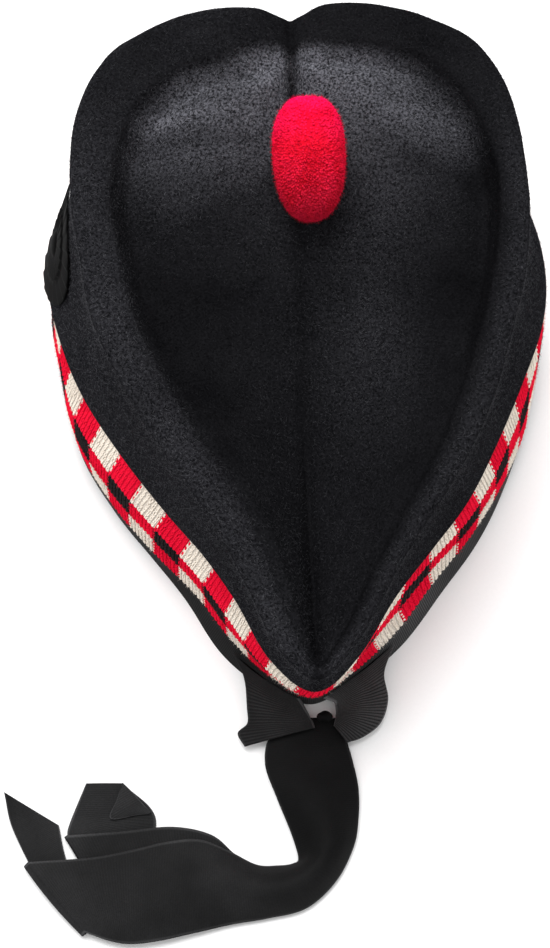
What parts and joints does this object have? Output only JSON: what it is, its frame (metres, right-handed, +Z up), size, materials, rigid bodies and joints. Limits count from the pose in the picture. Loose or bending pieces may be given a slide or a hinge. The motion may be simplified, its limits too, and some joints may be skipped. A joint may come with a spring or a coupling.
{
  "type": "glengarry hat",
  "caption": "Felt glengarry cap with creased crown, chequered knitted band, bound rim, toorie, side cockade and ribbon tails laid behind.",
  "frame": {"origin": "on the surface that the cap and its tails rest on, under the middle of the bounding box", "axes": "+Y towards the front of the cap, +Z up, +X towards the wearer's right; the ribbon tails lie towards -Y and -X"},
  "size_m": [0.1958, 0.2872, 0.1358],
  "materials": {
    "felt": "black napped wool felt",
    "knit": "ribbed wool knit in red, white and black checks",
    "ribbon": "black ribbed ribbon",
    "wool": "red cut wool pile"
  },
  "bodies": {
    "root": {"felt_cap": "felt", "dicing_band": "knit", "binding": "ribbon", "toorie": "wool", "cockade": "ribbon", "bow_left": "ribbon", "bow_right": "ribbon", "knot": "ribbon", "tail_front": "ribbon", "tail_back": "ribbon"}
  },
  "joints": []
}
